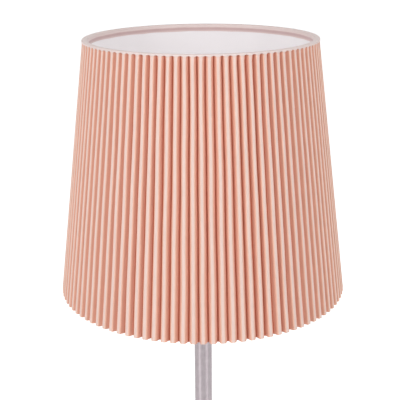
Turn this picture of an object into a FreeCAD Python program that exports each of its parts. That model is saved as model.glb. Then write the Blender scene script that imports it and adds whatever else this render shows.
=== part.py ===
import FreeCAD, Part
import math
import os

# Table candle lamp with a pleated shade. A weighted foot carries a slim steel tube.
# A spring in the tube feeds a thin candle up against a cap, so the flame keeps its height.
# A collar clamped on the tube carries a gallery, and the shade's fitter ring rests on it.
# Millimetres, +Z up, origin on the tube's axis at the face that the lamp stands on.

# Foot: a cast weight under a spun cover, on a felt pad
foot_radius = 80.0
foot_edge_height = 9.0
foot_height = 17.0
foot_crown_radius = 20.0
foot_edge_round = 3.0
foot_dome_round = 60.0
cover_wall = 1.2
cover_floor_gap = 1.0
cover_clearance = 0.1
pad_thickness = 2.5
pad_hole_radius = 14.0
bolt_radius = 4.0
bolt_hole_clearance = 0.4
bolt_head_radius = 6.5
bolt_head_height = 4.4
bolt_socket_width = 5.0
bolt_socket_depth = 2.6
bolt_engagement = 14.0
washer_radius = 8.5
washer_thickness = 1.6
recess_clearance = 1.0

# Tube, its plug and the ferrule at the foot
tube_radius = 8.0
tube_wall = 1.0
plug_length = 24.0
plug_spigot_radius = 4.4
plug_spigot_height = 6.0
thread_clearance = 0.05
ferrule_base_radius = 15.0
ferrule_top_radius = 9.6
ferrule_height = 16.0
ferrule_step_height = 4.0
ferrule_round = 6.0
slide_clearance = 0.15

# Candle, its follower and the feed spring
candle_radius = 6.35
candle_length = 182.0
candle_tip_radius = 3.7
candle_tip_rise = 6.5
candle_tip_round = 2.4
wick_radius = 0.8
wick_height = 9.0
wick_sunk = 6.0
follower_wall = 0.4
follower_floor = 3.0
follower_cup_depth = 10.0
follower_nose_radius = 4.2
follower_nose_length = 7.0
candle_clearance = 0.1
spring_wire_radius = 0.5
spring_turns = 17
spring_clearance = 0.25
spring_end_gap = 0.25

# Cap on the tube's end, with its drip dish
cap_wall = 1.3
cap_skirt = 15.0
cap_above_gallery = 20.0
cap_nozzle_radius = 4.5
cap_cone_rise = 6.0
cap_candle_gap = 0.5
cap_bead_radius = 0.7
dish_radius = 18.0
dish_wall = 0.8
dish_rise = 4.0
dish_bend = 2.5

# Collar that slides on the tube, the gallery on it and its clamp screw
collar_radius = 13.0
collar_height = 22.0
collar_chamfer = 1.0
spigot_radius = 10.5
spigot_height = 3.0
gallery_radius = 25.5
gallery_thickness = 2.0
gallery_boss_radius = 20.6
gallery_boss_height = 3.2
gallery_lead = 0.8
press_clearance = 0.04
screw_radius = 2.0
screw_tip_gap = 0.15
screw_turned_deg = 90.0
knob_radius = 6.5
knob_length = 8.0
knob_standoff = 2.5
knob_flute_radius = 0.7
knob_flutes = 24
knob_cap_radius = 3.2
knob_cap_rise = 1.0
seat_washer_thickness = 1.2
seat_washer_clearance = 0.4

# Shade: size of the pleated cone
shade_bottom_radius = 125.0
shade_top_radius = 97.5
shade_height = 218.0
shade_bottom_height = 240.0

# Shade: pleats, and how the top tape squeezes them
pleat_count = 100
pleat_depth = 4.2
pleat_shoulder_depth = 3.6
pleat_squeezed_depth = 1.5
pleat_shoulder_drop = 6.0
pleat_crest_share = 0.66
pleat_valley_share = 0.20
pleat_crest_round_share = 0.30
pleat_valley_round_share = 0.09
cloth_thickness = 0.45

# Shade: lining, wire rings, tapes and fitter
lining_thickness = 0.5
lining_inset = 0.9
glue_gap = 0.06
ring_wire_radius = 1.5
top_wire_radius = 1.0
bottom_ring_rise = 4.0
tape_thickness = 0.35
tape_fold_round = 1.0
lip_fold_round = 0.6
top_lip = 1.9
top_flap = 6.6
bottom_flap = 11.0
seam_tape_width = 14.0
seam_tape_thickness = 0.3
seam_tape_gap = 0.25
seam_turned_deg = -70.0
fitter_outer_radius = 31.0
fitter_clearance = 0.5
fitter_thickness = 1.4
fitter_above_edge = 53.0
arm_count = 3
arm_wire_radius = 1.5
arm_first_deg = 30.0
arm_weld_depth = 0.3
arm_inner_clearance = 1.6
arm_flat_run = 10.0
arm_bend_radius = 12.0
arm_outer_run = 9.0

# How far a cutting solid runs past what it cuts
overrun = 1.0

ORIGIN = FreeCAD.Vector(0, 0, 0)
UP = FreeCAD.Vector(0, 0, 1)

# Places that several pieces share
tube_bore_radius = tube_radius - tube_wall
tube_foot = foot_height
plug_top = tube_foot + plug_length
fitter_bottom = shade_bottom_height + fitter_above_edge
gallery_top = fitter_bottom - seat_washer_thickness
collar_top = gallery_top - gallery_thickness
cap_bottom = gallery_top + gallery_boss_height + cap_above_gallery
tube_top_height = cap_bottom + cap_skirt
candle_top = tube_top_height
candle_bottom = candle_top - candle_length
follower_bottom = candle_bottom - follower_floor
fitter_bore_radius = gallery_boss_radius + fitter_clearance
shade_top_height = shade_bottom_height + shade_height
cover_top_height = shade_top_height - tape_thickness - glue_gap
cover_shoulder_height = shade_top_height - pleat_shoulder_drop
top_ring_height = cover_top_height - top_wire_radius


def point(radius, height):
    """A point of an outline in the XZ plane."""
    return FreeCAD.Vector(radius, 0, height)


def rounded_wire(points, radii, closed):
    """Straight runs through the points, with each corner rounded by its own radius."""
    last = len(points) - 1
    corners = []
    for i, (corner, radius) in enumerate(zip(points, radii)):
        if radius == 0 or (not closed and i in (0, last)):
            corners.append((corner, None, corner))
            continue
        back = (points[i - 1] - corner).normalize()
        ahead = (points[(i + 1) % len(points)] - corner).normalize()
        half_angle = back.getAngle(ahead) / 2
        reach = radius / math.tan(half_angle)
        middle = (back + ahead).normalize() * (radius / math.sin(half_angle) - radius)
        corners.append((corner + back * reach, corner + middle, corner + ahead * reach))
    edges = []
    for i, (start, middle, end) in enumerate(corners):
        if middle is not None:
            edges.append(Part.Arc(start, middle, end).toShape())
        if closed or i < last:
            edges.append(Part.LineSegment(end, corners[(i + 1) % len(corners)][0]).toShape())
    return Part.Wire(edges)


def outward(solid):
    """The solid with its faces pointing out."""
    if solid.Volume < 0:
        solid.reverse()
    return solid


def turned(points, radii=None):
    """A solid of revolution about the tube's axis, from a closed outline."""
    wire = rounded_wire(points, radii or [0] * len(points), True)
    return outward(Part.Face(wire).revolve(ORIGIN, UP, 360))


def disc(radius, bottom, top):
    """A plain round solid on the tube's axis."""
    return Part.makeCylinder(radius, top - bottom, FreeCAD.Vector(0, 0, bottom))


def washer(inner, outer, bottom, top):
    """A flat ring on the tube's axis."""
    return disc(outer, bottom, top).cut(disc(inner, bottom - overrun, top + overrun))


def around(solid, count, first_deg=0.0):
    """Copies of a solid, evenly spaced about the tube's axis."""
    copies = []
    for i in range(count):
        copy = solid.copy()
        copy.rotate(ORIGIN, UP, first_deg + i * 360.0 / count)
        copies.append(copy)
    return copies


def crest_radius(height):
    """Outside of the pleats, at a height on the shade's cone."""
    share = (height - shade_bottom_height) / shade_height
    return shade_bottom_radius + (shade_top_radius - shade_bottom_radius) * share


def lining_outside(height):
    """The lining's outer face, a cone just inside the backs of the pleats' valleys."""
    share = (height - shade_bottom_height) / (cover_shoulder_height - shade_bottom_height)
    depth = pleat_depth + (pleat_shoulder_depth - pleat_depth) * share
    return crest_radius(height) - depth - cloth_thickness - glue_gap


def squeezed_back(height):
    """Back of the pleats' valleys above the shoulder, where the tape squeezes them."""
    share = (height - cover_shoulder_height) / (cover_top_height - cover_shoulder_height)
    depth = pleat_shoulder_depth + (pleat_squeezed_depth - pleat_shoulder_depth) * share
    return crest_radius(height) - depth - cloth_thickness


def lining_inside(height):
    return lining_outside(height) - lining_thickness


def cone_shell(outside, inside, bottom, top):
    """A conical wall between two faces whose radius is given at any height."""
    return turned([
        point(inside(bottom), bottom),
        point(outside(bottom), bottom),
        point(outside(top), top),
        point(inside(top), top),
    ])


# Foot

def foot_blank(inset):
    """The foot's domed form, taken in by an inset all round, down to the floor line."""
    radius = foot_radius - inset
    edge = foot_edge_height - inset
    top = foot_height - inset
    return turned(
        [
            point(0, 0),
            point(radius, 0),
            point(radius, edge),
            point(foot_crown_radius, top),
            point(0, top),
        ],
        [0, 0, foot_edge_round, foot_dome_round, 0],
    )


def foot_cover():
    """Spun shell with an open underside and a hole for the bolt."""
    shell = foot_blank(0.0).cut(foot_blank(cover_wall))
    floor_cut = disc(foot_radius + overrun, -overrun, cover_floor_gap)
    bolt_hole = disc(bolt_radius + bolt_hole_clearance, 0, foot_height + overrun)
    return shell.cut(floor_cut).cut(bolt_hole)


def foot_weight():
    """Cast disc that fills the cover, recessed from below for the bolt's head."""
    inset = cover_wall + cover_clearance
    body = foot_blank(inset).cut(disc(foot_radius, -overrun, pad_thickness))
    bolt_hole = disc(bolt_radius + bolt_hole_clearance, 0, foot_height)
    recess = disc(washer_radius + recess_clearance, 0, washer_seat())
    return body.cut(bolt_hole).cut(recess)


def washer_seat():
    """Height at which the washer meets the weight, above its recess."""
    return pad_thickness + bolt_head_height + washer_thickness


def foot_bolt():
    """Socket-head bolt, up through the foot into the tube's plug."""
    head_bottom = washer_seat() - washer_thickness - bolt_head_height
    head = disc(bolt_head_radius, head_bottom, head_bottom + bolt_head_height)
    shank = disc(bolt_radius, head_bottom, tube_foot + bolt_engagement)
    hexagon = [
        FreeCAD.Vector(
            bolt_socket_width / math.sqrt(3) * math.cos(math.radians(60 * i)),
            bolt_socket_width / math.sqrt(3) * math.sin(math.radians(60 * i)),
            head_bottom - overrun,
        )
        for i in range(7)
    ]
    socket = Part.Face(Part.makePolygon(hexagon)).extrude(UP * (bolt_socket_depth + overrun))
    return head.fuse(shank).cut(socket).removeSplitter()


def foot_washer():
    inner = bolt_radius + bolt_hole_clearance
    return washer(inner, washer_radius, washer_seat() - washer_thickness, washer_seat())


def foot_pad():
    """Felt ring glued under the weight, inside the cover's rim."""
    outer = foot_radius - cover_wall - cover_clearance
    return washer(pad_hole_radius, outer, 0, pad_thickness)


# Tube

def stem_tube():
    return washer(tube_bore_radius, tube_radius, tube_foot, tube_top_height)


def tube_plug():
    """Plug pressed into the tube's foot. The bolt pulls on it and the spring stands on it."""
    outer = tube_bore_radius - press_clearance
    body = disc(outer, tube_foot, plug_top)
    spigot = disc(plug_spigot_radius, plug_top, plug_top + plug_spigot_height)
    thread = disc(bolt_radius + thread_clearance, tube_foot - overrun, tube_foot + bolt_engagement + overrun)
    return body.fuse(spigot).cut(thread).removeSplitter()


def stem_ferrule():
    """Turned collar that hides the joint of tube and foot."""
    bore = tube_radius + press_clearance
    return turned(
        [
            point(bore, tube_foot),
            point(ferrule_base_radius, tube_foot),
            point(ferrule_base_radius, tube_foot + ferrule_step_height),
            point(ferrule_top_radius, tube_foot + ferrule_step_height),
            point(ferrule_top_radius, tube_foot + ferrule_height),
            point(bore, tube_foot + ferrule_height),
        ],
        [0, 0, ferrule_round / 4, ferrule_round / 2, ferrule_round / 8, 0],
    )


# Candle and its feed

def feed_spring():
    """Coil spring from the plug to the follower."""
    coil_radius = tube_bore_radius - spring_clearance - spring_wire_radius
    bottom = plug_top + spring_end_gap + spring_wire_radius
    top = follower_bottom - spring_end_gap - spring_wire_radius
    height = top - bottom
    path = Part.makeLongHelix(height / spring_turns, height, coil_radius, 0)
    section = Part.Wire(Part.makeCircle(
        spring_wire_radius,
        FreeCAD.Vector(coil_radius, 0, 0),
        FreeCAD.Vector(0, 1, 0),
    ))
    coil = Part.Wire(path.Edges).makePipeShell([section], True, True)
    coil.translate(UP * bottom)
    return outward(coil)


def spring_follower():
    """Turned cup under the candle, with a nose that centres it in the spring."""
    outer = candle_radius + candle_clearance + follower_wall
    cup = disc(outer, follower_bottom, candle_bottom + follower_cup_depth)
    hollow = disc(candle_radius + candle_clearance, candle_bottom, candle_top)
    nose = disc(follower_nose_radius, follower_bottom - follower_nose_length, follower_bottom)
    return cup.cut(hollow).fuse(nose).removeSplitter()


def candle():
    """Thin candle, burnt to a cone where it stands through the cap."""
    blank = turned(
        [
            point(0, candle_bottom),
            point(candle_radius, candle_bottom),
            point(candle_radius, candle_top),
            point(candle_tip_radius, candle_top + candle_tip_rise),
            point(candle_tip_radius, candle_top + 2 * candle_tip_rise),
            point(0, candle_top + 2 * candle_tip_rise),
        ],
        [0, 0, 0, 0, candle_tip_round, 0],
    )
    top = candle_top + 2 * candle_tip_rise
    return blank.cut(disc(wick_radius, top - wick_sunk, top + overrun))


def wick():
    bottom = candle_top + 2 * candle_tip_rise - wick_sunk
    return disc(wick_radius, bottom, bottom + wick_sunk + wick_height)


# Cap

def burner_cap():
    """Push-on cap. Its cone holds the candle down against the spring."""
    bore = tube_radius + slide_clearance
    skirt = bore + cap_wall
    shoulder = tube_top_height + cap_candle_gap
    inner_cone_radius = candle_radius + cap_candle_gap
    rise = cap_cone_rise + cap_candle_gap
    return turned(
        [
            point(bore, cap_bottom),
            point(skirt + cap_bead_radius, cap_bottom),
            point(skirt + cap_bead_radius, cap_bottom + 2 * cap_bead_radius),
            point(skirt, cap_bottom + 2 * cap_bead_radius),
            point(skirt, shoulder + cap_wall),
            point(cap_nozzle_radius + cap_wall, shoulder + rise + cap_wall),
            point(cap_nozzle_radius, shoulder + rise + cap_wall),
            point(cap_nozzle_radius, shoulder + rise),
            point(inner_cone_radius, shoulder),
            point(bore, shoulder),
        ],
        [0, cap_bead_radius / 2, cap_bead_radius / 2, 0, cap_wall, cap_wall / 2, 0, 0, 0, 0],
    )


def drip_dish():
    """Pressed dish that sits on the cap's skirt and catches wax."""
    bore = tube_radius + slide_clearance + cap_wall + press_clearance
    bottom = cap_bottom + 2 * cap_bead_radius
    return turned(
        [
            point(bore, bottom),
            point(dish_radius - dish_rise, bottom),
            point(dish_radius, bottom + dish_rise),
            point(dish_radius - dish_wall, bottom + dish_rise),
            point(dish_radius - dish_rise - dish_wall / 2, bottom + dish_wall),
            point(bore, bottom + dish_wall),
        ],
        [0, dish_bend, 0, 0, dish_bend - dish_wall, 0],
    )


# Carrier

def screw_height():
    """Height of the clamp screw's axis on the collar."""
    return collar_top - collar_height / 2


def turned_out(solid):
    """Lays a solid built along Z out along the clamp screw's axis."""
    solid.rotate(ORIGIN, FreeCAD.Vector(0, 1, 0), 90)
    solid.rotate(ORIGIN, UP, screw_turned_deg)
    solid.translate(UP * screw_height())
    return solid


def carrier_collar():
    """Collar with a spigot for the gallery and a threaded hole for the screw."""
    bore = tube_radius + slide_clearance
    bottom = collar_top - collar_height
    body = turned(
        [
            point(bore, bottom),
            point(collar_radius, bottom),
            point(collar_radius, collar_top),
            point(spigot_radius, collar_top),
            point(spigot_radius, collar_top + spigot_height),
            point(bore, collar_top + spigot_height),
        ],
        [0, collar_chamfer, collar_chamfer, 0, 0, 0],
    )
    thread = turned_out(disc(screw_radius + thread_clearance, 0, collar_radius + overrun))
    return body.cut(thread)


def shade_gallery():
    """Plate on the collar. Its boss centres the fitter ring, its rim carries it."""
    bore = spigot_radius + press_clearance
    return turned(
        [
            point(bore, collar_top),
            point(gallery_radius, collar_top),
            point(gallery_radius, gallery_top),
            point(gallery_boss_radius, gallery_top),
            point(gallery_boss_radius, gallery_top + gallery_boss_height),
            point(gallery_boss_radius - gallery_thickness, gallery_top + gallery_boss_height),
            point(gallery_boss_radius - gallery_thickness, gallery_top),
            point(bore, gallery_top),
        ],
        [0, gallery_lead, gallery_lead, 0, gallery_lead, 0, 0, 0],
    )


def clamp_screw():
    """Grub of the clamp screw, from the tube out into the knob."""
    tip = tube_radius + screw_tip_gap
    root = collar_radius + knob_standoff + knob_length / 2
    return turned_out(disc(screw_radius, tip, root))


def clamp_knob():
    """Fluted knob moulded on the screw, with a raised cap on its end."""
    start = collar_radius + knob_standoff
    body = disc(knob_radius, start, start + knob_length)
    flute = Part.makeCylinder(
        knob_flute_radius,
        knob_length + 2 * overrun,
        FreeCAD.Vector(knob_radius, 0, start - overrun),
    )
    body = body.cut(around(flute, knob_flutes))
    cap = disc(knob_cap_radius, start + knob_length, start + knob_length + knob_cap_rise)
    hole = disc(screw_radius + press_clearance, start - overrun, start + knob_length / 2)
    return turned_out(body.fuse(cap).cut(hole).removeSplitter())


def seat_washer():
    """Loose felt washer between gallery and fitter, on which the shade turns."""
    inner = gallery_boss_radius + seat_washer_clearance
    return washer(inner, gallery_radius, gallery_top, fitter_bottom)


# Shade

def pleat_wire(height, depth, offset):
    """The pleats' closed outline at a height, moved out by an offset."""
    pitch_angle = 2 * math.pi / pleat_count
    crest = crest_radius(height) + offset
    valley = crest - depth
    crest_pitch = crest * pitch_angle
    crest_half = crest_pitch * pleat_crest_share / 2 + offset
    valley_half = valley * pitch_angle * pleat_valley_share / 2 - offset
    fullness = depth / pleat_depth
    crest_round = crest_pitch * pleat_crest_round_share * fullness + offset
    valley_round = crest_pitch * pleat_valley_round_share * fullness - offset
    points = []
    for i in range(pleat_count):
        crest_angle = i * pitch_angle
        valley_angle = crest_angle + pitch_angle / 2
        for radius, angle in (
            (crest, crest_angle - crest_half / crest),
            (crest, crest_angle + crest_half / crest),
            (valley, valley_angle - valley_half / valley),
            (valley, valley_angle + valley_half / valley),
        ):
            points.append(FreeCAD.Vector(radius * math.cos(angle), radius * math.sin(angle), height))
    radii = [crest_round, crest_round, valley_round, valley_round] * pleat_count
    return rounded_wire(points, radii, True)


def pleated_cover():
    """One sheet of cloth in even pleats, squeezed flatter where the top tape holds them."""
    levels = (
        (shade_bottom_height, pleat_depth),
        (cover_shoulder_height, pleat_shoulder_depth),
        (cover_top_height, pleat_squeezed_depth),
    )
    outer = [pleat_wire(height, depth, 0.0) for height, depth in levels]
    inner = [pleat_wire(height, depth, -cloth_thickness) for height, depth in levels]
    faces = Part.makeLoft(outer, False, True).Faces + Part.makeLoft(inner, False, True).Faces
    for i in (0, -1):
        faces.append(Part.makeFace([outer[i], inner[i]], "Part::FaceMakerBullseye"))
    shell = Part.makeShell(faces)
    shell.sewShape()
    return outward(Part.makeSolid(shell))


def shade_lining():
    """Plain conical sheet that the pleats are glued to."""
    bottom = shade_bottom_height + lining_inset
    top = top_ring_height - top_wire_radius - glue_gap
    return cone_shell(lining_outside, lining_inside, bottom, top)


def seam_tape():
    """Strip that closes the lining's seam, on its inner face."""
    bottom = shade_bottom_height + bottom_flap + glue_gap
    top = shade_top_height - top_flap - glue_gap
    ring = cone_shell(seam_tape_outside, seam_tape_inside, bottom, top)
    slot = Part.makeBox(
        shade_bottom_radius,
        seam_tape_width,
        shade_height,
        FreeCAD.Vector(0, -seam_tape_width / 2, shade_bottom_height),
    )
    slot.rotate(ORIGIN, UP, seam_turned_deg)
    return ring.common(slot)


def seam_tape_outside(height):
    return lining_inside(height) - seam_tape_gap


def seam_tape_inside(height):
    return seam_tape_outside(height) - seam_tape_thickness


def flap_outside(height):
    """Where a tape's flap meets the lining's inner face."""
    return lining_inside(height) - glue_gap


def bottom_ring_radius():
    """Radius of the bottom ring's wire, which only touches the leaning lining."""
    lean = (shade_bottom_radius - shade_top_radius) / shade_height
    height = shade_bottom_height + bottom_ring_rise
    return flap_outside(height) - ring_wire_radius * (1 + lean)


def top_ring_radius():
    """Radius of the top ring's wire, which sits over the lining, behind the squeezed pleats."""
    rise = squeezed_back(cover_top_height) - squeezed_back(cover_shoulder_height)
    lean = rise / (cover_top_height - cover_shoulder_height)
    return squeezed_back(top_ring_height) - (top_wire_radius + glue_gap) * math.hypot(1, lean)


def bottom_ring():
    height = shade_bottom_height + bottom_ring_rise
    return Part.makeTorus(bottom_ring_radius(), ring_wire_radius, FreeCAD.Vector(0, 0, height))


def top_ring():
    return Part.makeTorus(top_ring_radius(), top_wire_radius, FreeCAD.Vector(0, 0, top_ring_height))


def top_binding():
    """Tape folded over the top: a lip outside, across, round the wire and down the lining."""
    top = shade_top_height
    lip_bottom = top - top_lip
    lip_inside = crest_radius(lip_bottom) + glue_gap
    fold_bottom = top_ring_height - top_wire_radius
    fold = min(top_ring_radius() - top_wire_radius - glue_gap, flap_outside(fold_bottom))
    flap_top = fold_bottom - tape_fold_round
    flap_bottom = top - top_flap
    inner_round = tape_fold_round - tape_thickness
    lip_inner_round = lip_fold_round - tape_thickness
    return turned(
        [
            point(lip_inside, lip_bottom),
            point(lip_inside + tape_thickness, lip_bottom),
            point(lip_inside + tape_thickness, top),
            point(fold - tape_thickness, top),
            point(fold - tape_thickness, fold_bottom),
            point(flap_outside(flap_top) - tape_thickness, flap_top),
            point(flap_outside(flap_bottom) - tape_thickness, flap_bottom),
            point(flap_outside(flap_bottom), flap_bottom),
            point(flap_outside(flap_top), flap_top),
            point(fold, fold_bottom),
            point(fold, top - tape_thickness),
            point(lip_inside, top - tape_thickness),
        ],
        [0, 0, lip_fold_round, tape_fold_round, 0, 0, 0, 0, 0, 0, inner_round, lip_inner_round],
    )


def bottom_binding():
    """Tape folded round the bottom ring and up the lining, inside the pleats."""
    bottom = shade_bottom_height + glue_gap
    floor = bottom + tape_thickness
    fold = bottom_ring_radius() - ring_wire_radius - glue_gap
    over_wire = shade_bottom_height + bottom_ring_rise + ring_wire_radius
    flap_bottom = over_wire + tape_fold_round
    flap_top = shade_bottom_height + bottom_flap
    inner_round = tape_fold_round - tape_thickness
    return turned(
        [
            point(lining_outside(bottom), bottom),
            point(lining_outside(floor), floor),
            point(fold, floor),
            point(fold, over_wire),
            point(flap_outside(flap_bottom), flap_bottom),
            point(flap_outside(flap_top), flap_top),
            point(flap_outside(flap_top) - tape_thickness, flap_top),
            point(flap_outside(flap_bottom) - tape_thickness, flap_bottom),
            point(fold - tape_thickness, over_wire),
            point(fold - tape_thickness, bottom),
        ],
        [0, 0, inner_round, 0, 0, 0, 0, 0, 0, tape_fold_round],
    )


def fitter_ring():
    return washer(fitter_bore_radius, fitter_outer_radius, fitter_bottom, fitter_bottom + fitter_thickness)


def fitter_arms():
    """Wires welded under the fitter ring, bent down and out to the bottom ring."""
    inner_height = fitter_bottom - arm_wire_radius + arm_weld_depth
    outer_height = shade_bottom_height + bottom_ring_rise
    start = gallery_radius + arm_inner_clearance
    reach = bottom_ring_radius()
    path = rounded_wire(
        [
            point(start, inner_height),
            point(start + arm_flat_run, inner_height),
            point(reach - arm_outer_run - arm_bend_radius, outer_height),
            point(reach, outer_height),
        ],
        [0, arm_bend_radius, arm_bend_radius, 0],
        False,
    )
    section = Part.Wire(Part.makeCircle(
        arm_wire_radius, point(start, inner_height), FreeCAD.Vector(1, 0, 0),
    ))
    arm = outward(path.makePipeShell([section], True, False))
    arm = arm.cut(fitter_ring()).cut(bottom_ring()).cut(bottom_binding())
    arm = max(arm.Solids, key=lambda solid: solid.Volume)
    return Part.makeCompound(around(arm, arm_count, arm_first_deg))


NODES = [
    foot_pad, foot_weight, foot_cover, foot_washer, foot_bolt,
    stem_tube, tube_plug, stem_ferrule,
    feed_spring, spring_follower, candle, wick,
    burner_cap, drip_dish,
    carrier_collar, shade_gallery, clamp_screw, clamp_knob, seat_washer,
    fitter_ring, fitter_arms, bottom_ring, top_ring,
    shade_lining, seam_tape, pleated_cover, top_binding, bottom_binding,
]


os.makedirs("parts", exist_ok=True)
for node in NODES:
    shape = node()
    shape.exportStep("parts/" + node.__name__ + ".step")
    print(node.__name__, len(shape.Solids), shape.isValid(), round(shape.Volume))
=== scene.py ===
import math
import random

import bpy
from mathutils import Matrix, Vector


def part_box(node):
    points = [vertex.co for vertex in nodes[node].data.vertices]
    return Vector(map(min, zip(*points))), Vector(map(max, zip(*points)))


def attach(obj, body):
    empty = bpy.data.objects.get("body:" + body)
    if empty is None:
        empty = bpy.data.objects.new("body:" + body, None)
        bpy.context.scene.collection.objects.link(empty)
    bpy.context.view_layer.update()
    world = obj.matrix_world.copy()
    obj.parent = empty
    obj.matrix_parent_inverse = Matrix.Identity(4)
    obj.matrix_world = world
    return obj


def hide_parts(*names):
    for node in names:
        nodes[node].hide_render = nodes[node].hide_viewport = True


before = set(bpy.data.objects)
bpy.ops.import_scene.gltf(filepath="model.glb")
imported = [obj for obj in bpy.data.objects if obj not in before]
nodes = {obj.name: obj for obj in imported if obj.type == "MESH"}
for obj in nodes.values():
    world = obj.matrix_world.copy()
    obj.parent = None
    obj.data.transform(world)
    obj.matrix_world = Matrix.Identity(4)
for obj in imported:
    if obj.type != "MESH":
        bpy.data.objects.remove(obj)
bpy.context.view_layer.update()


# Foot: a cast iron disc under a spun steel cover, bolted up into the tube.
# The cover was spun on a lathe and brushed as it turned, so its marks are rings.
# A thick felt ring is glued under the iron.

class Value:
    """A shader socket. Sums, differences, products and powers of values add Math nodes."""

    def __init__(self, socket):
        self.socket = socket

    def maths(self, operation, first, second):
        math_node = self.socket.id_data.nodes.new("ShaderNodeMath")
        math_node.operation = operation
        for slot, given in zip(math_node.inputs, (first, second)):
            if isinstance(given, Value):
                self.socket.id_data.links.new(given.socket, slot)
            else:
                slot.default_value = given
        return Value(math_node.outputs[0])

    def __add__(self, other):
        return self.maths("ADD", self, other)

    def __radd__(self, other):
        return self.maths("ADD", other, self)

    def __sub__(self, other):
        return self.maths("SUBTRACT", self, other)

    def __rsub__(self, other):
        return self.maths("SUBTRACT", other, self)

    def __mul__(self, other):
        return self.maths("MULTIPLY", self, other)

    def __rmul__(self, other):
        return self.maths("MULTIPLY", other, self)

    def __pow__(self, other):
        return self.maths("POWER", self, other)


class Shading:
    """The shader nodes of one finish, or of the sky. Each call of node adds one."""

    def __init__(self, tree):
        self.tree = tree

    def node(self, kind, settings=None, sockets=None, output=0):
        """Adds a node: its settings first, then the values or links of its sockets."""
        made = self.tree.nodes.new(kind)
        for name, given in (settings or {}).items():
            setattr(made, name, given)
        for name, given in (sockets or {}).items():
            self.feed(made.inputs[name], given)
        return Value(made.outputs[output])

    def feed(self, socket, given):
        """Links a value to a socket, or sets the socket to a plain number or colour."""
        if isinstance(given, Value):
            self.tree.links.new(given.socket, socket)
        elif isinstance(given, (tuple, list, Vector)) and socket.type == "RGBA":
            socket.default_value = (*given, 1)
        else:
            socket.default_value = given

    def place(self):
        """Where a point of the piece lies, in metres."""
        return self.node("ShaderNodeTexCoord", output="Object")

    def split(self, vector):
        parts = self.node("ShaderNodeSeparateXYZ", sockets={"Vector": vector}).socket.node
        return [Value(part) for part in parts.outputs]

    def join(self, x, y, z):
        return self.node("ShaderNodeCombineXYZ", sockets={"X": x, "Y": y, "Z": z})

    def noise(self, vector, scale, detail=3.0, roughness=0.55):
        """Soft random spots, from 0 to 1, so many to the metre."""
        return self.node("ShaderNodeTexNoise", sockets={
            "Vector": vector, "Scale": scale, "Detail": detail, "Roughness": roughness,
        }, output="Fac")

    def ramp(self, value, low, high, start=0.0, end=1.0):
        """A value that goes smoothly from start to end as another goes from low to high."""
        return self.node("ShaderNodeMapRange", {"interpolation_type": "SMOOTHSTEP"}, {
            "Value": value, "From Min": low, "From Max": high, "To Min": start, "To Max": end,
        })

    def blend(self, share, first, second):
        """A colour between two others. The node keeps its colours in sockets 6, 7 and 2."""
        return self.node("ShaderNodeMix", {"data_type": "RGBA"}, {0: share, 6: first, 7: second}, 2)


class Finish(Shading):
    """The finish of one surface: a material whose nodes feed its main shader."""

    def __init__(self, name, **sockets):
        self.material = bpy.data.materials.new(name)
        self.material.use_nodes = True
        super().__init__(self.material.node_tree)
        self.shader = self.tree.nodes["Principled BSDF"]
        self.set(**sockets)

    def set(self, **sockets):
        """Feeds the main shader's sockets, named in small letters with underscores."""
        for name, given in sockets.items():
            title = name.replace("_", " ").title().replace("Ior", "IOR")
            self.feed(self.shader.inputs[title], given)

    def bump(self, height, distance, strength=1.0):
        """Raises the surface by up to the distance, in metres."""
        self.set(normal=self.node("ShaderNodeBump", sockets={
            "Height": height, "Distance": distance, "Strength": strength,
        }, output="Normal"))

    def radius(self):
        """Distance from the lamp's axis, in metres."""
        x, y = self.split(self.place())[:2]
        return (x * x + y * y) ** 0.5

    def turn(self):
        """Angle round the lamp's axis, in radians."""
        x, y = self.split(self.place())[:2]
        return self.node("ShaderNodeMath", {"operation": "ARCTAN2"}, {0: y, 1: x})

    def dress(self, *pieces):
        for piece in pieces:
            piece.data.materials.clear()
            piece.data.materials.append(self.material)


steel_colour = (0.345, 0.303, 0.322)
steel_pale_colour = (0.43, 0.387, 0.406)
brush_marks_to_metre = 9000.0
brush_marks_to_radian = 2.5


def satin_steel(name, around):
    """Stainless steel brushed on the lathe. The marks run round the axis."""
    steel = Finish(name, metallic=1.0, specular_ior_level=0.5)
    across = steel.radius() if around == "face" else steel.split(steel.place())[2]
    along = steel.turn() * brush_marks_to_radian
    mark_place = steel.join(across * brush_marks_to_metre, along, 0.0)
    marks = steel.noise(mark_place, 1.0, detail=4.0, roughness=0.7)
    cloud = steel.noise(steel.place(), 60.0, detail=3.0)
    steel.set(
        base_color=steel.blend(
            steel.ramp(cloud + marks * 0.6, 0.45, 1.15), steel_colour, steel_pale_colour,
        ),
        roughness=0.46 + marks * 0.12 + cloud * 0.08,
    )
    steel.bump(marks, distance=0.00002, strength=0.5)
    return steel


spun_steel = satin_steel("spun_steel", "face")
spun_steel.dress(nodes["foot_cover"])

iron_dark_colour = (0.05, 0.05, 0.052)
iron_pale_colour = (0.13, 0.13, 0.135)
rust_colour = (0.11, 0.055, 0.035)

cast_iron = Finish("cast_iron", metallic=0.75, roughness=0.72)
iron_grain = cast_iron.noise(cast_iron.place(), 900.0, detail=6.0, roughness=0.65)
iron_rust = cast_iron.ramp(cast_iron.noise(cast_iron.place(), 70.0, detail=4.0), 0.55, 0.75)
cast_iron.set(base_color=cast_iron.blend(
    iron_rust * 0.5,
    cast_iron.blend(iron_grain, iron_dark_colour, iron_pale_colour),
    rust_colour,
))
cast_iron.bump(iron_grain, distance=0.0003)
cast_iron.dress(nodes["foot_weight"])

zinc_dark_colour = (0.46, 0.47, 0.46)
zinc_pale_colour = (0.66, 0.66, 0.63)

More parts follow.
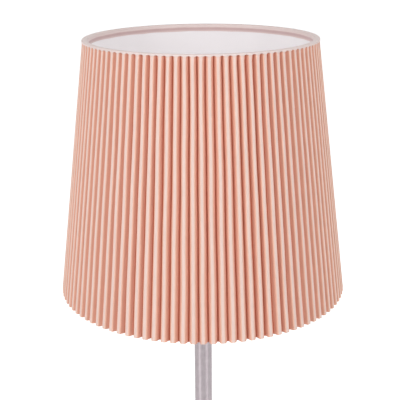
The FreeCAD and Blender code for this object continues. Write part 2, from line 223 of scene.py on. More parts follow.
zinc = Finish("zinc_plate", metallic=1.0)
zinc_bloom = zinc.noise(zinc.place(), 450.0, detail=4.0)
zinc.set(
    base_color=zinc.blend(zinc_bloom, zinc_dark_colour, zinc_pale_colour),
    roughness=0.28 + zinc_bloom * 0.2,
)
zinc.bump(zinc_bloom, distance=0.00004)
zinc.dress(nodes["foot_bolt"], nodes["foot_washer"])


def even_turns(count):
    """Angles evenly spaced round the lamp's axis."""
    return [2 * math.pi * i / count for i in range(count)]


def turned_mesh(name, outline, turns, sway=None):
    """A ring-shaped piece: a closed outline of (radius, height) points swept round the axis.

    sway gives the change of radius and height for an angle and an outline point.
    """
    points = []
    for angle in turns:
        for j, (radius, height) in enumerate(outline):
            wider, higher = sway(angle, j) if sway else (0, 0)
            points.append((
                (radius + wider) * math.cos(angle),
                (radius + wider) * math.sin(angle),
                height + higher,
            ))
    count = len(outline)
    faces = []
    for i in range(len(turns)):
        here, ahead = i * count, (i + 1) % len(turns) * count
        for j in range(count):
            after = (j + 1) % count
            faces.append((here + j, ahead + j, ahead + after, here + after))
    mesh = bpy.data.meshes.new(name)
    mesh.from_pydata(points, [], faces)
    mesh.shade_smooth()
    piece = bpy.data.objects.new(name, mesh)
    bpy.context.collection.objects.link(piece)
    return piece


def rounded_outline(corners, roundings, steps=4):
    """The outline through corners, each cut by an arc that starts its rounding away from it."""
    outline = []
    for i, (corner, rounding) in enumerate(zip(corners, roundings)):
        corner = Vector(corner)
        back = Vector(corners[i - 1]) - corner
        ahead = Vector(corners[(i + 1) % len(corners)]) - corner
        start = corner + back.normalized() * min(rounding, back.length / 2)
        end = corner + ahead.normalized() * min(rounding, ahead.length / 2)
        for k in range(steps + 1):
            share = k / steps
            outline.append(tuple(
                start * (1 - share) ** 2 + corner * 2 * share * (1 - share) + end * share ** 2
            ))
    return outline


felt_dark_colour = (0.02, 0.021, 0.023)
felt_pale_colour = (0.085, 0.085, 0.09)
felt_fray = 0.00012
felt_turns = 240
wave_starts = (0, 6.3)
foot_pad_hole_radius = 0.014
foot_pad_edge_round = 0.0008


def felt_ring(name, node, inner, edge_round):
    """A ring cut from thick felt, with soft edges that the die pulled a little out of round."""
    low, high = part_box(node)
    outer = high.x
    fray = random.Random(name)
    waves = [(fray.randrange(5, 40), fray.uniform(*wave_starts)) for k in range(6)]

    def pulled(angle, j):
        return felt_fray * sum(math.sin(n * angle + start) for n, start in waves) / 3, 0

    corners = [(inner, low.z), (outer, low.z), (outer, high.z), (inner, high.z)]
    outline = rounded_outline(corners, [edge_round] * 4)
    ring = turned_mesh(name, outline, even_turns(felt_turns), pulled)
    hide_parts(node)
    return ring


felt = Finish("felt", roughness=0.95, sheen_weight=0.4, sheen_roughness=0.5)
felt_fibre = felt.noise(felt.place(), 2600.0, detail=5.0, roughness=0.75)
felt_cloud = felt.noise(felt.place(), 300.0, detail=3.0)
felt.set(base_color=felt.blend(
    felt_fibre * 0.7 + felt_cloud * 0.3, felt_dark_colour, felt_pale_colour,
))
felt.bump(felt_fibre + felt_cloud, distance=0.0004)

foot_pad = felt_ring("felt_foot", "foot_pad", foot_pad_hole_radius, foot_pad_edge_round)
felt.dress(foot_pad)
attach(foot_pad, "stand")


# Tube: drawn steel tube with a satin finish, and a turned ferrule at its foot.
# The plug and the feed spring are inside it.

tube_marks_to_radian = 9.0
tube_marks_to_metre = 60.0

tube_steel = Finish(
    "tube_steel", metallic=1.0, specular_ior_level=0.5, anisotropic=0.85, anisotropic_rotation=0.25,
)
tube_height = tube_steel.split(tube_steel.place())[2]
tube_mark_place = tube_steel.join(
    tube_steel.turn() * tube_marks_to_radian, tube_height * tube_marks_to_metre, 0.0,
)
tube_marks = tube_steel.noise(tube_mark_place, 1.0, detail=4.0, roughness=0.6)
tube_cloud = tube_steel.noise(tube_steel.place(), 140.0, detail=3.0)
tube_steel.set(
    base_color=tube_steel.blend(
        tube_steel.ramp(tube_cloud * 0.6 + tube_marks * 0.6, 0.35, 0.85),
        steel_colour,
        steel_pale_colour,
    ),
    roughness=0.36 + tube_marks * 0.08,
)
tube_steel.bump(tube_cloud, distance=0.00002, strength=0.2)
tube_steel.dress(nodes["stem_tube"])

turned_steel = satin_steel("turned_steel", "side")
turned_steel.dress(nodes["stem_ferrule"])
zinc.dress(nodes["tube_plug"])

spring_dark_colour = (0.16, 0.16, 0.17)
spring_pale_colour = (0.34, 0.34, 0.35)

spring_steel = Finish("spring_steel", metallic=1.0, roughness=0.35)
spring_scale = spring_steel.noise(spring_steel.place(), 1500.0, detail=4.0)
spring_steel.set(
    base_color=spring_steel.blend(spring_scale, spring_dark_colour, spring_pale_colour),
)
spring_steel.dress(nodes["feed_spring"])


# Candle: a thin white candle that the spring pushes up against the cap.
# It has burnt before: its tip is melted round, with a small pool about a curved black wick.

brass_bright_colour = (0.60, 0.42, 0.17)
brass_dull_colour = (0.42, 0.27, 0.11)

brass = Finish("turned_brass", metallic=1.0)
brass_tarnish = brass.noise(brass.place(), 220.0, detail=4.0)
brass.set(
    base_color=brass.blend(brass_tarnish, brass_bright_colour, brass_dull_colour),
    roughness=0.25 + brass_tarnish * 0.25,
)
brass.dress(nodes["spring_follower"])

wax_colour = (0.86, 0.82, 0.72)
wax_pale_colour = (0.93, 0.90, 0.83)

wax = Finish(
    "candle_wax", subsurface_weight=0.5, subsurface_radius=Vector((0.004, 0.003, 0.002)),
    subsurface_scale=1.0, coat_roughness=0.3, roughness=0.42,
)
wax_bloom = wax.noise(wax.place(), 240.0, detail=4.0)
wax.set(base_color=wax.blend(wax_bloom, wax_colour, wax_pale_colour), coat_weight=0.15)
wax.bump(wax_bloom, distance=0.0002)

candle_low, candle_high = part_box("candle")
candle_radius = candle_high.x
tip_radius = 0.0037
pool_radius = 0.0024
pool_depth = 0.0012
tip_height = 0.0130
cone_height = 0.0065
tip_sag = 0.00035
candle_turns = 64


def melted(angle, j):
    """How far the tip has sagged: most at its rim, and nothing on the straight sides."""
    share = tip_sag_shares[j]
    return (
        tip_sag * share * (math.sin(2 * angle + 0.6) + 0.5 * math.sin(5 * angle)),
        tip_sag * share * math.cos(angle - 1.1) * 1.5,
    )


# The candle's outline from its foot to its pool: radius, height and share of the sag.
candle_outline = []
tip_sag_shares = []
for radius, height, sag in (
    (0.0002, candle_low.z, 0),
    (candle_radius - 0.0003, candle_low.z, 0),
    (candle_radius, candle_low.z + 0.0003, 0),
    (candle_radius, candle_high.z - tip_height - 0.0004, 0),
    (candle_radius - 0.0002, candle_high.z - tip_height, 0),
    (tip_radius + 0.0002, candle_high.z - cone_height - 0.0004, 0),
    (tip_radius - 0.0001, candle_high.z - cone_height + 0.0004, 0),
    (tip_radius, candle_high.z - 0.0024, 0.3),
    (tip_radius - 0.0002, candle_high.z - 0.0012, 0.7),
    (tip_radius - 0.0007, candle_high.z - 0.0004, 1),
    (pool_radius, candle_high.z - 0.0003, 1),
    (pool_radius * 0.7, candle_high.z - pool_depth * 0.8, 0.4),
    (pool_radius * 0.4, candle_high.z - pool_depth, 0),
    (0.0002, candle_high.z - pool_depth * 0.9, 0),
):
    candle_outline.append((radius, height))
    tip_sag_shares.append(sag)

burnt_candle = turned_mesh("burnt_candle", candle_outline, even_turns(candle_turns), melted)
wax.dress(burnt_candle)
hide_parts("candle")
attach(burnt_candle, "candle")

wick_low, wick_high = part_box("wick")
wick_radius = wick_high.x
wick_rings = 40
wick_sides = 18
wick_lean = 0.0022
wick_bend_share = 0.45
wick_bend_spread = 0.3
wick_curl_share = 0.06
wick_burnt_share = 0.8
wick_burnt_loss = 0.45
wick_plait = 0.00012
wick_plait_turn = 9.0


def wick_mesh():
    """Three plaited cotton strands, curled over at the burnt end."""
    points = []
    for i in range(wick_rings + 1):
        share = i / wick_rings
        height = wick_low.z + (wick_high.z - wick_low.z) * (share - wick_curl_share * share ** 6)
        lean = wick_lean * max(0.0, share - wick_bend_share) ** 2 / wick_bend_spread
        thin = 1 - wick_burnt_loss * max(0.0, share - wick_burnt_share) / (1 - wick_burnt_share)
        for k in range(wick_sides):
            angle = 2 * math.pi * k / wick_sides
            lobes = abs(math.cos(1.5 * (angle - wick_plait_turn * share)))
            radius = (wick_radius - wick_plait * 2 + wick_plait * 2 * lobes) * thin
            points.append((lean + radius * math.cos(angle), radius * math.sin(angle), height))
    faces = []
    for i in range(wick_rings):
        for k in range(wick_sides):
            after = (k + 1) % wick_sides
            low, high = i * wick_sides, (i + 1) * wick_sides
            faces.append((low + k, low + after, high + after, high + k))
    faces.append(tuple(reversed(range(wick_sides))))
    faces.append(tuple(wick_rings * wick_sides + k for k in range(wick_sides)))
    mesh = bpy.data.meshes.new("plaited_wick")
    mesh.from_pydata(points, [], faces)
    mesh.shade_smooth()
    piece = bpy.data.objects.new("plaited_wick", mesh)
    bpy.context.collection.objects.link(piece)
    return piece


wick_raw_colour = (0.62, 0.55, 0.42)
wick_char_colour = (0.012, 0.011, 0.011)
wick_char_start = candle_high.z + 0.0005
wick_char_end = candle_high.z + 0.0030
wick_char_wander = 0.002

wick_cotton = Finish("wick_cotton", roughness=0.9)
wick_level = wick_cotton.split(wick_cotton.place())[2]
wick_fibre = wick_cotton.noise(wick_cotton.place(), 1800.0)
wick_char = wick_cotton.ramp(
    wick_level + wick_fibre * wick_char_wander, wick_char_start, wick_char_end,
)
wick_cotton.set(base_color=wick_cotton.blend(wick_char, wick_raw_colour, wick_char_colour))
wick_cotton.bump(wick_cotton.noise(wick_cotton.place(), 6000.0, detail=3.0), distance=0.0001)

plaited_wick = wick_mesh()
wick_cotton.dress(plaited_wick)
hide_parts("wick")
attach(plaited_wick, "candle")


# Cap and dish: a turned steel cap pushed on to the tube's end, and a spun dish for the wax.
# Both are the tube's steel, brushed as they turned.

turned_steel.dress(nodes["burner_cap"])
spun_steel.dress(nodes["drip_dish"])


# Carrier: the turned collar with its spun gallery, and a black moulded knob on the clamp screw.
# A loose felt washer lies on the gallery, and the shade turns on it.

turned_steel.dress(nodes["carrier_collar"])
spun_steel.dress(nodes["shade_gallery"])
zinc.dress(nodes["clamp_screw"])

plastic_dark_colour = (0.010, 0.010, 0.011)
plastic_pale_colour = (0.022, 0.022, 0.024)

black_plastic = Finish("black_plastic")
plastic_grain = black_plastic.noise(black_plastic.place(), 3200.0, detail=3.0)
black_plastic.set(
    base_color=black_plastic.blend(plastic_grain, plastic_dark_colour, plastic_pale_colour),
    roughness=0.34 + plastic_grain * 0.2,
)
black_plastic.bump(plastic_grain, distance=0.00003)
black_plastic.dress(nodes["clamp_knob"])

seat_washer_hole_radius = 0.021
seat_washer_edge_round = 0.0004

felt_washer = felt_ring(
    "felt_washer", "seat_washer", seat_washer_hole_radius, seat_washer_edge_round,
)
felt.dress(felt_washer)
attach(felt_washer, "seat")


# Shade frame: a flat steel ring with three bent arms, and a wire ring at each edge.
# All of it is powder coated white.

enamel_colour = (0.80, 0.79, 0.76)
enamel_pale_colour = (0.86, 0.85, 0.83)

white_enamel = Finish("white_enamel", coat_roughness=0.2)
enamel_peel = white_enamel.noise(white_enamel.place(), 700.0, detail=2.0)
white_enamel.set(
    base_color=white_enamel.blend(enamel_peel, enamel_colour, enamel_pale_colour),
    roughness=0.36 + enamel_peel * 0.12,
    coat_weight=0.2,
)
white_enamel.bump(enamel_peel, distance=0.00006)
white_enamel.dress(
    nodes["fitter_ring"], nodes["fitter_arms"], nodes["bottom_ring"], nodes["top_ring"],
)


# Lining: a cone of matt styrene sheet, closed by a strip of the same down its seam.
# It is pale grey-white, with a faint cloudiness where the glue and the cloth show through.

lining_colour = (0.80, 0.77, 0.78)
lining_pale_colour = (0.87, 0.85, 0.86)
lining_painted_glow_colour = (1.0, 0.955, 0.965)

# The lining also glows faintly: a painted glow that stands in for daylight coming through the
# cloth.
lining = Finish(
    "styrene_lining", roughness=0.6, emission_color=lining_painted_glow_colour, emission_strength=0.15,
)
lining_cloud = lining.noise(lining.place(), 22.0, detail=4.0)
lining_grain = lining.noise(lining.place(), 1400.0, detail=3.0)
lining.set(base_color=lining.blend(
    lining_cloud * 0.75 + lining_grain * 0.25, lining_colour, lining_pale_colour,
))
lining.bump(lining_grain, distance=0.00005)
lining.dress(nodes["shade_lining"], nodes["seam_tape"])


# Pleated cover: one length of crepe cloth, machine pleated and glued round the lining.
# Its round crests are painted pale, a painted highlight, its shoulders less; the flanks keep the
# cloth's salmon, and the deep folds are painted darker red as painted shade.
# The pleats lean a little to the left, and no two are quite the same.

pleat_count = 100
pleat_seed = 11
cloth_thickness = 0.00045
crest_width_share = 0.45
crest_round_share = 0.20
fold_width_share = 0.10
fold_round_share = 0.04
pleat_depth = 0.0042
pleat_shoulder_depth = 0.0036
pleat_squeezed_depth = 0.0015
pleat_shoulder_drop = 0.0060
pleat_lean = 0.08
pleat_start_share = 0.05
pleat_place_slack = (-0.030, 0.030)
pleat_depth_slack = (0.95, 1.0)
crest_width_slack = (0.96, 1.04)
fold_width_slack = (0.85, 1.1)
pleat_wave_rates = (4.0, 9.0, 17.0)
pleat_wave_slack = (0.8, 1.2)
pleat_drift = 0.00010
cover_rows = 18
squeezed_rows = 5
crest_steps = 6
fold_steps = 2
cut_edge_angle = 1.1

cover_low, cover_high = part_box("pleated_cover")
cover_bottom_radius = cover_high.x
tape_low, tape_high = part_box("top_binding")
tape_thickness = 0.00035
tape_glue = 0.00006
shade_narrowing = 0.0275
shade_height = 0.218
cover_taper = shade_narrowing / shade_height
cover_top_radius = cover_bottom_radius - (cover_high.z - cover_low.z) * cover_taper
shoulder_share = 1 - pleat_shoulder_drop / (cover_high.z - cover_low.z)
pleat_chance = random.Random(pleat_seed)
pleat_habits = [{
    "place_share": pleat_chance.uniform(*pleat_place_slack),
    "depth_share": pleat_chance.uniform(*pleat_depth_slack),
    "width_shares": (
        pleat_chance.uniform(*crest_width_slack), pleat_chance.uniform(*fold_width_slack),
    ),
    "waves": [
        (rate * pleat_chance.uniform(*pleat_wave_slack), pleat_chance.uniform(*wave_starts))
        for rate in pleat_wave_rates
    ],
} for i in range(pleat_count)]


def even(start, end, share):
    return start + (end - start) * share


def fold_corners(radius, depth, width_shares):
    """Corners of one pleat, as (along the edge, inwards) in metres from the crest's middle."""
    pitch = 2 * math.pi * radius / pleat_count
    crest = pitch * crest_width_share * width_shares[0] / 2
    fold = pitch * fold_width_share * width_shares[1] / 2
    fullness = depth / pleat_depth
    return [
        ((-crest, 0), pitch * crest_round_share * fullness),
        ((crest, 0), pitch * crest_round_share * fullness),
        ((pitch / 2 - fold, depth), pitch * fold_round_share * fullness),
        ((pitch / 2 + fold, depth), pitch * fold_round_share * fullness),
    ], pitch


def arc_points(before, corner, after, rounding, steps):
    """Points on the arc that rounds off a corner."""
    corner = Vector(corner)
    back = (Vector(before) - corner).normalized()
    ahead = (Vector(after) - corner).normalized()
    half_angle = back.angle(ahead) / 2
    middle = corner + (back + ahead).normalized() * rounding / math.sin(half_angle)
    start = corner + back * rounding / math.tan(half_angle) - middle
    end = corner + ahead * rounding / math.tan(half_angle) - middle
    turn = start.angle_signed(end)
    return [middle + Matrix.Rotation(-turn * k / steps, 2) @ start for k in range(steps + 1)]


def pleat_profile(radius, depth, width_shares):
    """One pleat's points and their shares of crest: 1 on top, 0.5 at the side, 0 in the fold."""
    corners, pitch = fold_corners(radius, depth, width_shares)
    profile = []
    for i, (corner, rounding) in enumerate(corners):
        before = corners[i - 1][0]
        after = corners[(i + 1) % len(corners)][0]
        if i == 0:
            before = (before[0] - pitch, before[1])
        if i == len(corners) - 1:
            after = (after[0] + pitch, after[1])
        steps = crest_steps if i < 2 else fold_steps
        for k, place in enumerate(arc_points(before, corner, after, rounding, steps)):
            turned_share = (1 - k / steps, k / steps)[i] if i < 2 else 2
            profile.append((place, 1 - turned_share / 2))
    return profile


def pleat_turn(i, share, radius):
    """Angle round the axis at which a pleat stands, at a share of the cover's height."""
    habit = pleat_habits[i]
    wander = sum(math.sin(rate * share + start) for rate, start in habit["waves"])
    even_turn = 2 * math.pi * (i + pleat_start_share + habit["place_share"]) / pleat_count
    return even_turn + wander * pleat_drift / radius


def cover_depth(share):
    """Depth of the pleats: nearly even, then squeezed where the top tape holds them."""
    if share < shoulder_share:
        return even(pleat_depth, pleat_shoulder_depth, share / shoulder_share)
    squeezed_share = (share - shoulder_share) / (1 - shoulder_share)
    return even(pleat_shoulder_depth, pleat_squeezed_depth, squeezed_share)


def cloth_ring(share):
    """One level of the cover: its outer and inner points, and each point's share of crest."""
    height = even(cover_low.z, cover_high.z, share)
    radius = even(cover_bottom_radius, cover_top_radius, share)
    depth = cover_depth(share)
    outline = []
    for i, habit in enumerate(pleat_habits):
        own_depth = depth * habit["depth_share"]
        for (along, inwards), crest in pleat_profile(radius, own_depth, habit["width_shares"]):
            leant = along - (depth - inwards) * pleat_lean
            angle = pleat_turn(i, share, radius) + leant / radius
            reach = radius - inwards
            outline.append((reach * math.cos(angle), reach * math.sin(angle), crest))
    count = len(outline)
    outer = []
    inner = []
    for i, (x, y, crest) in enumerate(outline):
        back, ahead = outline[i - 1], outline[(i + 1) % count]
        side = Vector((ahead[1] - back[1], back[0] - ahead[0])).normalized() * cloth_thickness
        outer.append((x, y, height))
        inner.append((x - side.x, y - side.y, height))
    return outer, inner, [crest for x, y, crest in outline]


def cloth_mesh():
    """The cover as one closed sheet, with its share of crest kept for the cloth's colour: a painted
    highlight on the crests and painted shade in the folds.
    """
    levels = [shoulder_share * i / cover_rows for i in range(cover_rows)]
    levels += [even(shoulder_share, 1, i / squeezed_rows) for i in range(squeezed_rows + 1)]
    points = []
    crests = []
    rings = []
    for level in levels:
        outer, inner, crest = cloth_ring(level)
        rings.append((len(points), len(points) + len(outer)))
        points += outer + inner
        crests += crest + crest
        count = len(outer)
    faces = []
    for (low_out, low_in), (high_out, high_in) in zip(rings, rings[1:]):
        for i in range(count):
            after = (i + 1) % count
            faces.append((low_out + i, low_out + after, high_out + after, high_out + i))
            faces.append((low_in + after, low_in + i, high_in + i, high_in + after))
    for (out, back), flipped in ((rings[0], False), (rings[-1], True)):
        for i in range(count):
            after = (i + 1) % count
            rim = (out + i, back + i, back + after, out + after)
            faces.append(tuple(reversed(rim)) if flipped else rim)
    mesh = bpy.data.meshes.new("pleated_cloth")
    mesh.from_pydata(points, [], faces)
    mesh.shade_smooth()
    mesh.set_sharp_from_angle(angle=cut_edge_angle)
    crest_share = mesh.attributes.new("crest", "FLOAT", "POINT")
    crest_share.data.foreach_set("value", crests)
    piece = bpy.data.objects.new("pleated_cloth", mesh)
    bpy.context.collection.objects.link(piece)
    return piece


# The crest and shoulder colours are painted highlight and the fold colour is painted shade. The
# flank colour is the cloth's own.
crest_highlight_colour = (0.89, 0.66, 0.59)
crest_warm_highlight_colour = (0.91, 0.69, 0.615)
shoulder_half_highlight_colour = (0.90, 0.56, 0.43)
flank_colour = (0.82, 0.43, 0.32)
fold_shade_colour = (0.62, 0.20, 0.12)
crepe_mottle_stretch = 0.55
crepe_mottle_reach = 0.08

crepe = Finish("pink_crepe", roughness=0.85, sheen_weight=0.35, sheen_roughness=0.4)
crest_share = crepe.node("ShaderNodeAttribute", {"attribute_name": "crest"}, output="Fac")
crepe_x, crepe_y, crepe_height = crepe.split(crepe.place())
crepe_mottle_place = crepe.join(crepe_x, crepe_y, crepe_height * crepe_mottle_stretch)
crepe_mottle = crepe.noise(crepe_mottle_place, 900.0, detail=4.0, roughness=0.6)
crepe_thread = crepe.noise(crepe.place(), 3800.0, detail=3.0, roughness=0.7)
crepe_cloud = crepe.noise(crepe.place(), 60.0, detail=2.0)
# Painted light: pale on the crests, less on the shoulders, darker red in the folds, shifted a
# little by the cloth's mottle.
crepe_light_and_shade_share = crest_share + (crepe_mottle - 0.5) * crepe_mottle_reach
crepe.set(base_color=crepe.blend(
    crepe.ramp(crepe_light_and_shade_share, 0.82, 0.99),
    crepe.blend(
        crepe.ramp(crepe_light_and_shade_share, 0.57, 0.77),
        crepe.blend(crepe.ramp(crepe_light_and_shade_share, 0.0, 0.12), fold_shade_colour, flank_colour),
        shoulder_half_highlight_colour,
    ),
    crepe.blend(crepe_cloud, crest_highlight_colour, crest_warm_highlight_colour),
))
crepe.bump(crepe_thread * 0.6 + crepe_mottle, distance=0.00012, strength=0.8)

pleated_cloth = cloth_mesh()
crepe.dress(pleated_cloth)
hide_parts("pleated_cover")
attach(pleated_cloth, "shade")


# Bindings: smooth bias tape, glued over the top wire and round the bottom one.
# The top tape is pulled down over the ends of the pleats: its lip sinks and rises over each fold.

tape_lip_height = 0.0019
tape_turn_round = 0.0009
tape_back_round = 0.0012
tape_lip_round = 0.0006
tape_bend_round = 0.0004
tape_step_height = 0.001
tape_colours = (0.85, 0.70, 0.67), (0.90, 0.76, 0.73)
# The flap colours are the tape's duller inner tone together with painted shade under the wire roll.
flap_tone_and_shade_colours = (0.64, 0.44, 0.43), (0.72, 0.53, 0.52)
hem_tape_colours = (0.80, 0.62, 0.59), (0.88, 0.72, 0.69)
lip_sink = 0.0006
lip_arch = 0.0006
lip_fold_width_share = 0.24
flap_wave = 0.00015
tape_steps = 10
tape_seed = 5
tape_shade_wander = 0.0006
flap_shade_start = 0.0022
flap_shade_end = 0.0034
flap_edge_start = 0.0006
flap_edge_end = 0.0022
flap_edge_share = 0.75
tape_inside_start = 0.0006
tape_inside_end = 0.0010
tape_wire_low, tape_wire_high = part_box("top_ring")
tape_wire_radius = (tape_wire_high.z - tape_wire_low.z) / 2
lining_low, lining_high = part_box("shade_lining")
lining_taper = 0.1233
lining_thickness = 0.0005


def flap_face(height):
    """Where a tape's flap meets the lining's inner face."""
    return lining_high.x - (height - lining_low.z) * lining_taper - lining_thickness - tape_glue


def fold_turns(share, radius):
    """Angles of the folds between the pleats, one for each pleat and the first again at the end."""
    crests = [pleat_turn(i, share, radius) for i in range(pleat_count)]
    crests.append(crests[0] + 2 * math.pi)
    lean = cover_depth(share) * pleat_lean / radius
    folds = [even(crests[i], crests[i + 1], 0.5) - lean for i in range(pleat_count)]
    return folds + [folds[0] + 2 * math.pi]


folds = fold_turns(1, cover_top_radius)
tape_turns = [
    even(folds[i], folds[i + 1], k / tape_steps)
    for i in range(pleat_count) for k in range(tape_steps)
]
over_fold = {
    angle: max(0.0, 1 - (min(k, tape_steps - k) / tape_steps / lip_fold_width_share) ** 2) ** 0.5
    for angle, k in zip(tape_turns, list(range(tape_steps)) * pleat_count)
}
tape_chance = random.Random(tape_seed)
flap_waves = [(tape_chance.randrange(3, 30), tape_chance.uniform(*wave_starts)) for k in range(6)]

lip_face = tape_high.x - tape_thickness
wire_face = tape_wire_high.x - 2 * tape_wire_radius - tape_glue
fold_face = min(wire_face, flap_face(tape_wire_low.z))
turn_height = tape_wire_low.z - tape_step_height
tape_corners = [
    (lip_face, tape_high.z - tape_lip_height),
    (tape_high.x, tape_high.z - tape_lip_height),
    (tape_high.x, tape_high.z),
    (fold_face - tape_thickness, tape_high.z),
    (fold_face - tape_thickness, tape_wire_low.z),
    (flap_face(turn_height) - tape_thickness, turn_height),
    (flap_face(tape_low.z) - tape_thickness, tape_low.z),
    (flap_face(tape_low.z), tape_low.z),
    (flap_face(turn_height), turn_height),
    (fold_face, tape_wire_low.z),
    (fold_face, tape_high.z - tape_thickness),
    (lip_face, tape_high.z - tape_thickness),
]
cut_round = tape_thickness * 0.4
tape_outline = rounded_outline(
    tape_corners,
    [
        cut_round, cut_round, tape_turn_round, tape_back_round, tape_bend_round, tape_bend_round,
        cut_round, cut_round, tape_bend_round, tape_bend_round, tape_turn_round, tape_lip_round,
    ],
)


def pulled_down(angle, j):
    """How far the tape gives way: its lip over the folds, and its flap's edge all round."""
    radius, height = tape_outline[j]
    drop_share = min(1.0, (tape_high.z - height) / tape_lip_height)
    if radius > cover_top_radius - tape_step_height:
        return (
            -lip_sink * drop_share * over_fold[angle],
            lip_arch * drop_share ** 2 * over_fold[angle],
        )
    low_share = min(1.0, (tape_high.z - height) / (tape_high.z - tape_low.z))
    waves = sum(math.sin(n * angle + start) for n, start in flap_waves)
    return 0, flap_wave * low_share * waves / 3


tape = Finish("pink_tape", roughness=0.7, sheen_weight=0.3, sheen_roughness=0.35)
tape_weave = tape.noise(tape.place(), 2800.0, detail=3.0, roughness=0.6)
tape_cloud = tape.noise(tape.place(), 90.0, detail=3.0)
tape_level = tape.split(tape.place())[2] + tape_cloud * tape_shade_wander
# The flap is darker in a band under the wire roll: partly the tape's own duller tone and partly
# painted shade from the roll. The band lightens again towards the flap's lower edge.
flap_tone_and_shade_share = tape.ramp(
    tape_level, tape_high.z - flap_shade_end, tape_high.z - flap_shade_start, start=1.0, end=0.0,
)
tape_edge = tape.ramp(
    tape_level, tape_low.z + flap_edge_start, tape_low.z + flap_edge_end,
    start=flap_edge_share, end=0.0,
)
tape_inside = tape.ramp(
    tape.radius(), lip_face - tape_inside_end, lip_face - tape_inside_start, start=1.0, end=0.0,
)
tape.set(base_color=tape.blend(
    flap_tone_and_shade_share * (1 - tape_edge) * tape_inside,
    tape.blend(tape_cloud * 0.6 + tape_weave * 0.4, *tape_colours),
    tape.blend(tape_cloud * 0.6 + tape_weave * 0.4, *flap_tone_and_shade_colours),
))
tape.bump(tape_weave, distance=0.00006)

top_tape = turned_mesh("top_tape", tape_outline, tape_turns, pulled_down)
tape.dress(top_tape)
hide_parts("top_binding")
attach(top_tape, "shade")

hem_turns = 360
ring_low, ring_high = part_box("bottom_ring")
hem_low, hem_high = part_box("bottom_binding")
ring_face = ring_high.x - (ring_high.z - ring_low.z) - tape_glue
hem_turn = ring_high.z + tape_step_height
hem_corners = [
    (hem_high.x, hem_low.z),
    (hem_high.x, hem_low.z + tape_thickness),
    (ring_face, hem_low.z + tape_thickness),
    (ring_face, ring_high.z),
    (flap_face(hem_turn), hem_turn),
    (flap_face(hem_high.z), hem_high.z),
    (flap_face(hem_high.z) - tape_thickness, hem_high.z),
    (flap_face(hem_turn) - tape_thickness, hem_turn),
    (ring_face - tape_thickness, ring_high.z),
    (ring_face - tape_thickness, hem_low.z),
]


def puckered(angle, j):
    """Small puckers, most at the hem tape's upper edge."""
    rise_share = (hem_outline[j][1] - hem_low.z) / (hem_high.z - hem_low.z)
    waves = sum(math.sin(2 * n * angle + start) for n, start in flap_waves)
    return 0, flap_wave * rise_share * waves / 3


hem_outline = rounded_outline(
    hem_corners,
    [
        cut_round, cut_round, tape_lip_round, tape_bend_round, tape_bend_round,
        cut_round, cut_round, tape_bend_round, tape_bend_round, tape_turn_round,
    ],
)
hem_tape = turned_mesh("hem_tape", hem_outline, even_turns(hem_turns), puckered)
hem_finish = Finish("pink_hem_tape", roughness=0.7, sheen_weight=0.3, sheen_roughness=0.35)
hem_weave = hem_finish.noise(hem_finish.place(), 2800.0, detail=3.0, roughness=0.6)
hem_cloud = hem_finish.noise(hem_finish.place(), 90.0, detail=3.0)
hem_finish.set(base_color=hem_finish.blend(hem_cloud * 0.6 + hem_weave * 0.4, *hem_tape_colours))
hem_finish.bump(hem_weave, distance=0.00006)
hem_finish.dress(hem_tape)
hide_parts("bottom_binding")
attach(hem_tape, "shade")


# Studio: a white floor that fades into a white background, under an even white sky.
# Two tall soft boxes stand left and right of the camera, the left one stronger.
# A third one hangs above.

paper_colour = (0.86, 0.86, 0.86)
floor_size = 40.0
floor_glow = 0.72
sky_front_strength = 0.14
sky_back_strength = 0.55
sky_front_end = -0.9
sky_back_start = 0.4
lamp_aim_height = 0.33


def shown(shading):
    """1 where a surface is seen, straight or in metal or glass, and 0 where it only gives light."""
    rays = ("Is Camera Ray", "Is Glossy Ray", "Is Transmission Ray")
    straight, glossy, through = [shading.node("ShaderNodeLightPath", output=ray) for ray in rays]
    return straight + glossy + through


bpy.ops.mesh.primitive_plane_add(size=floor_size)
floor = bpy.context.object
floor.name = "studio_floor"
paper = Finish("studio_paper", base_color=paper_colour, roughness=0.9)
paper_plain = Value(paper.shader.outputs[0])
paper_glow = paper.node("ShaderNodeEmission", sockets={
    "Color": (1.0, 1.0, 1.0), "Strength": floor_glow,
})
paper_glowing = paper.node("ShaderNodeAddShader", sockets={0: paper_plain, 1: paper_glow})
paper.feed(
    paper.tree.nodes["Material Output"].inputs["Surface"],
    paper.node("ShaderNodeMixShader", sockets={0: shown(paper), 1: paper_plain, 2: paper_glowing}),
)
paper.dress(floor)

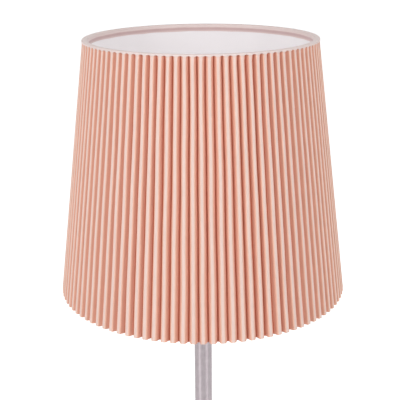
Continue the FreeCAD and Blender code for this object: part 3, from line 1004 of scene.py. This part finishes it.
white_sky = bpy.data.worlds.new("white_sky")
white_sky.use_nodes = True
bpy.context.scene.world = white_sky
sky = Shading(white_sky.node_tree)
sky_background = sky.tree.nodes["Background"]
sky_towards_back = sky.split(sky.node("ShaderNodeTexCoord", output="Generated"))[1]
sky_light = sky.ramp(
    sky_towards_back, sky_front_end, sky_back_start,
    start=sky_front_strength, end=sky_back_strength,
)
sky.feed(sky_background.inputs["Color"], (1.0, 1.0, 1.0))
sky.feed(sky_background.inputs["Strength"], shown(sky) * (1.0 - sky_light) + sky_light)

aim = Vector((0, 0, lamp_aim_height))
for name, place, size, watts in (
    ("soft_box_left", (-1.09, -1.05, 0.75), (0.5, 1.3), 9.5),
    ("soft_box_right", (1.09, -1.05, 0.70), (0.5, 1.3), 7.3),
    ("soft_box_above", (0.0, -1.1, 1.6), (1.2, 0.8), 5.0),
):
    lamp = bpy.data.lights.new(name, "AREA")
    lamp.shape = "RECTANGLE"
    lamp.size, lamp.size_y = size
    lamp.energy = watts
    box = bpy.data.objects.new(name, lamp)
    box.location = place
    box.rotation_euler = (aim - Vector(place)).to_track_quat("-Z", "Y").to_euler()
    bpy.context.collection.objects.link(box)

bpy.context.scene.view_settings.view_transform = "Standard"


# Camera: where the photograph was taken, in front and looking 18 degrees down on the shade.
# It has a long lens, and leans over by half a degree.

camera_distance = 0.7427
camera_above_hem = 0.3134
camera_pitch = 0.3087
camera_yaw = 0.0024
camera_roll = -0.0086
camera_lens = 80.2
camera_sensor = 36.0

camera_data = bpy.data.cameras.new("camera")
camera_data.sensor_width = camera_sensor
camera_data.lens = camera_lens
camera = bpy.data.objects.new("camera", camera_data)
camera.matrix_world = (
    Matrix.Translation((0, -camera_distance, cover_low.z + camera_above_hem))
    @ Matrix.Rotation(camera_yaw, 4, "Z")
    @ Matrix.Rotation(math.pi / 2 - camera_pitch, 4, "X")
    @ Matrix.Rotation(camera_roll, 4, "Z")
)
bpy.context.collection.objects.link(camera)
bpy.context.scene.camera = camera
